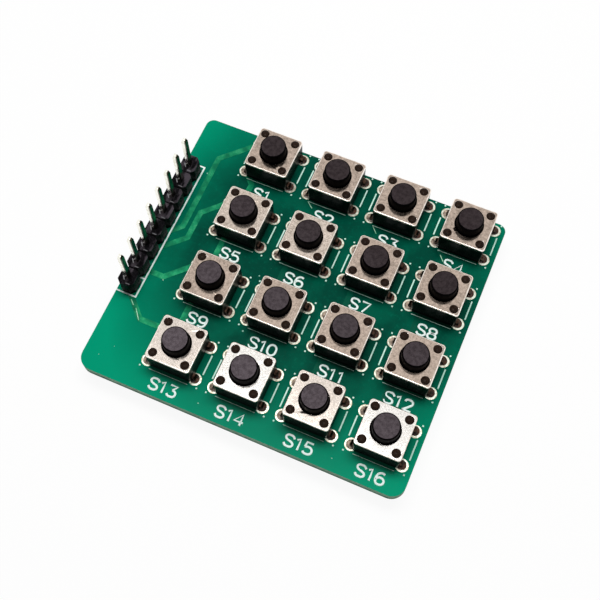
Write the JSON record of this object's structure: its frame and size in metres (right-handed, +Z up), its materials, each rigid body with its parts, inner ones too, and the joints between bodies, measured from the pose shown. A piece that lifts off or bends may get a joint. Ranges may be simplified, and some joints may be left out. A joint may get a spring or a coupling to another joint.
{
  "type": "matrix keypad",
  "caption": "Square green circuit board with a grid of small push switches in rows and columns and a straight pin header along one side.",
  "frame": {"origin": "under the middle of the board, level with the tips of the switch leads that it rests on", "axes": "+X along the switch rows, from the pin header towards the far column; +Y towards the back row of switches; +Z up, out of the side that carries the switches"},
  "size_m": [0.0432, 0.039, 0.012],
  "materials": {
    "board_mask": "green lacquer on glass-fibre board",
    "track_mask": "green lacquer over copper",
    "tinned_copper": "tinned",
    "white_ink": "printed ink",
    "header_plastic": "semi-gloss moulded",
    "gold_pin": "thin gold flash",
    "brass_lead": "tarnished, tinned at the tip",
    "spring_steel": "bright rolled",
    "solder": "bright solder",
    "base_plastic": "semi-gloss moulded",
    "cover_steel": "satin nickel plate",
    "plunger_plastic": "fine matt moulded"
  },
  "bodies": {
    "root": {"board": "board_mask", "copper_tracks": "track_mask", "plated_holes": "tinned_copper", "printed_outlines": "white_ink", "header_strip": "header_plastic", "header_pins": "gold_pin", "terminals": "brass_lead", "contact_domes": "spring_steel", "switch_solder": "solder", "header_solder": "solder", "base_s1": "base_plastic", "base_s2": "base_plastic", "base_s3": "base_plastic", "base_s4": "base_plastic", "base_s5": "base_plastic", "base_s6": "base_plastic", "base_s7": "base_plastic", "base_s8": "base_plastic", "base_s9": "base_plastic", "base_s10": "base_plastic", "base_s11": "base_plastic", "base_s12": "base_plastic", "base_s13": "base_plastic", "base_s14": "base_plastic", "base_s15": "base_plastic", "base_s16": "base_plastic", "cover_s1": "cover_steel", "cover_s2": "cover_steel", "cover_s3": "cover_steel", "cover_s4": "cover_steel", "cover_s5": "cover_steel", "cover_s6": "cover_steel", "cover_s7": "cover_steel", "cover_s8": "cover_steel", "cover_s9": "cover_steel", "cover_s10": "cover_steel", "cover_s11": "cover_steel", "cover_s12": "cover_steel", "cover_s13": "cover_steel", "cover_s14": "cover_steel", "cover_s15": "cover_steel", "cover_s16": "cover_steel"},
    "plunger_s1": {"plunger_s1": "plunger_plastic"},
    "plunger_s2": {"plunger_s2": "plunger_plastic"},
    "plunger_s3": {"plunger_s3": "plunger_plastic"},
    "plunger_s4": {"plunger_s4": "plunger_plastic"},
    "plunger_s5": {"plunger_s5": "plunger_plastic"},
    "plunger_s6": {"plunger_s6": "plunger_plastic"},
    "plunger_s7": {"plunger_s7": "plunger_plastic"},
    "plunger_s8": {"plunger_s8": "plunger_plastic"},
    "plunger_s9": {"plunger_s9": "plunger_plastic"},
    "plunger_s10": {"plunger_s10": "plunger_plastic"},
    "plunger_s11": {"plunger_s11": "plunger_plastic"},
    "plunger_s12": {"plunger_s12": "plunger_plastic"},
    "plunger_s13": {"plunger_s13": "plunger_plastic"},
    "plunger_s14": {"plunger_s14": "plunger_plastic"},
    "plunger_s15": {"plunger_s15": "plunger_plastic"},
    "plunger_s16": {"plunger_s16": "plunger_plastic"}
  },
  "joints": [
    {"name": "press_s1", "type": "slide", "parent": "root", "child": "plunger_s1", "axis": [0, 0, -1], "range_m": [0, 0.00025], "stiffness_N_per_m": 6400, "springref_m": -0.00002, "deforming": ["contact_domes"]},
    {"name": "press_s2", "type": "slide", "parent": "root", "child": "plunger_s2", "axis": [0, 0, -1], "range_m": [0, 0.00025], "stiffness_N_per_m": 6400, "springref_m": -0.00002, "deforming": ["contact_domes"]},
    {"name": "press_s3", "type": "slide", "parent": "root", "child": "plunger_s3", "axis": [0, 0, -1], "range_m": [0, 0.00025], "stiffness_N_per_m": 6400, "springref_m": -0.00002, "deforming": ["contact_domes"]},
    {"name": "press_s4", "type": "slide", "parent": "root", "child": "plunger_s4", "axis": [0, 0, -1], "range_m": [0, 0.00025], "stiffness_N_per_m": 6400, "springref_m": -0.00002, "deforming": ["contact_domes"]},
    {"name": "press_s5", "type": "slide", "parent": "root", "child": "plunger_s5", "axis": [0, 0, -1], "range_m": [0, 0.00025], "stiffness_N_per_m": 6400, "springref_m": -0.00002, "deforming": ["contact_domes"]},
    {"name": "press_s6", "type": "slide", "parent": "root", "child": "plunger_s6", "axis": [0, 0, -1], "range_m": [0, 0.00025], "stiffness_N_per_m": 6400, "springref_m": -0.00002, "deforming": ["contact_domes"]},
    {"name": "press_s7", "type": "slide", "parent": "root", "child": "plunger_s7", "axis": [0, 0, -1], "range_m": [0, 0.00025], "stiffness_N_per_m": 6400, "springref_m": -0.00002, "deforming": ["contact_domes"]},
    {"name": "press_s8", "type": "slide", "parent": "root", "child": "plunger_s8", "axis": [0, 0, -1], "range_m": [0, 0.00025], "stiffness_N_per_m": 6400, "springref_m": -0.00002, "deforming": ["contact_domes"]},
    {"name": "press_s9", "type": "slide", "parent": "root", "child": "plunger_s9", "axis": [0, 0, -1], "range_m": [0, 0.00025], "stiffness_N_per_m": 6400, "springref_m": -0.00002, "deforming": ["contact_domes"]},
    {"name": "press_s10", "type": "slide", "parent": "root", "child": "plunger_s10", "axis": [0, 0, -1], "range_m": [0, 0.00025], "stiffness_N_per_m": 6400, "springref_m": -0.00002, "deforming": ["contact_domes"]},
    {"name": "press_s11", "type": "slide", "parent": "root", "child": "plunger_s11", "axis": [0, 0, -1], "range_m": [0, 0.00025], "stiffness_N_per_m": 6400, "springref_m": -0.00002, "deforming": ["contact_domes"]},
    {"name": "press_s12", "type": "slide", "parent": "root", "child": "plunger_s12", "axis": [0, 0, -1], "range_m": [0, 0.00025], "stiffness_N_per_m": 6400, "springref_m": -0.00002, "deforming": ["contact_domes"]},
    {"name": "press_s13", "type": "slide", "parent": "root", "child": "plunger_s13", "axis": [0, 0, -1], "range_m": [0, 0.00025], "stiffness_N_per_m": 6400, "springref_m": -0.00002, "deforming": ["contact_domes"]},
    {"name": "press_s14", "type": "slide", "parent": "root", "child": "plunger_s14", "axis": [0, 0, -1], "range_m": [0, 0.00025], "stiffness_N_per_m": 6400, "springref_m": -0.00002, "deforming": ["contact_domes"]},
    {"name": "press_s15", "type": "slide", "parent": "root", "child": "plunger_s15", "axis": [0, 0, -1], "range_m": [0, 0.00025], "stiffness_N_per_m": 6400, "springref_m": -0.00002, "deforming": ["contact_domes"]},
    {"name": "press_s16", "type": "slide", "parent": "root", "child": "plunger_s16", "axis": [0, 0, -1], "range_m": [0, 0.00025], "stiffness_N_per_m": 6400, "springref_m": -0.00002, "deforming": ["contact_domes"]}
  ]
}
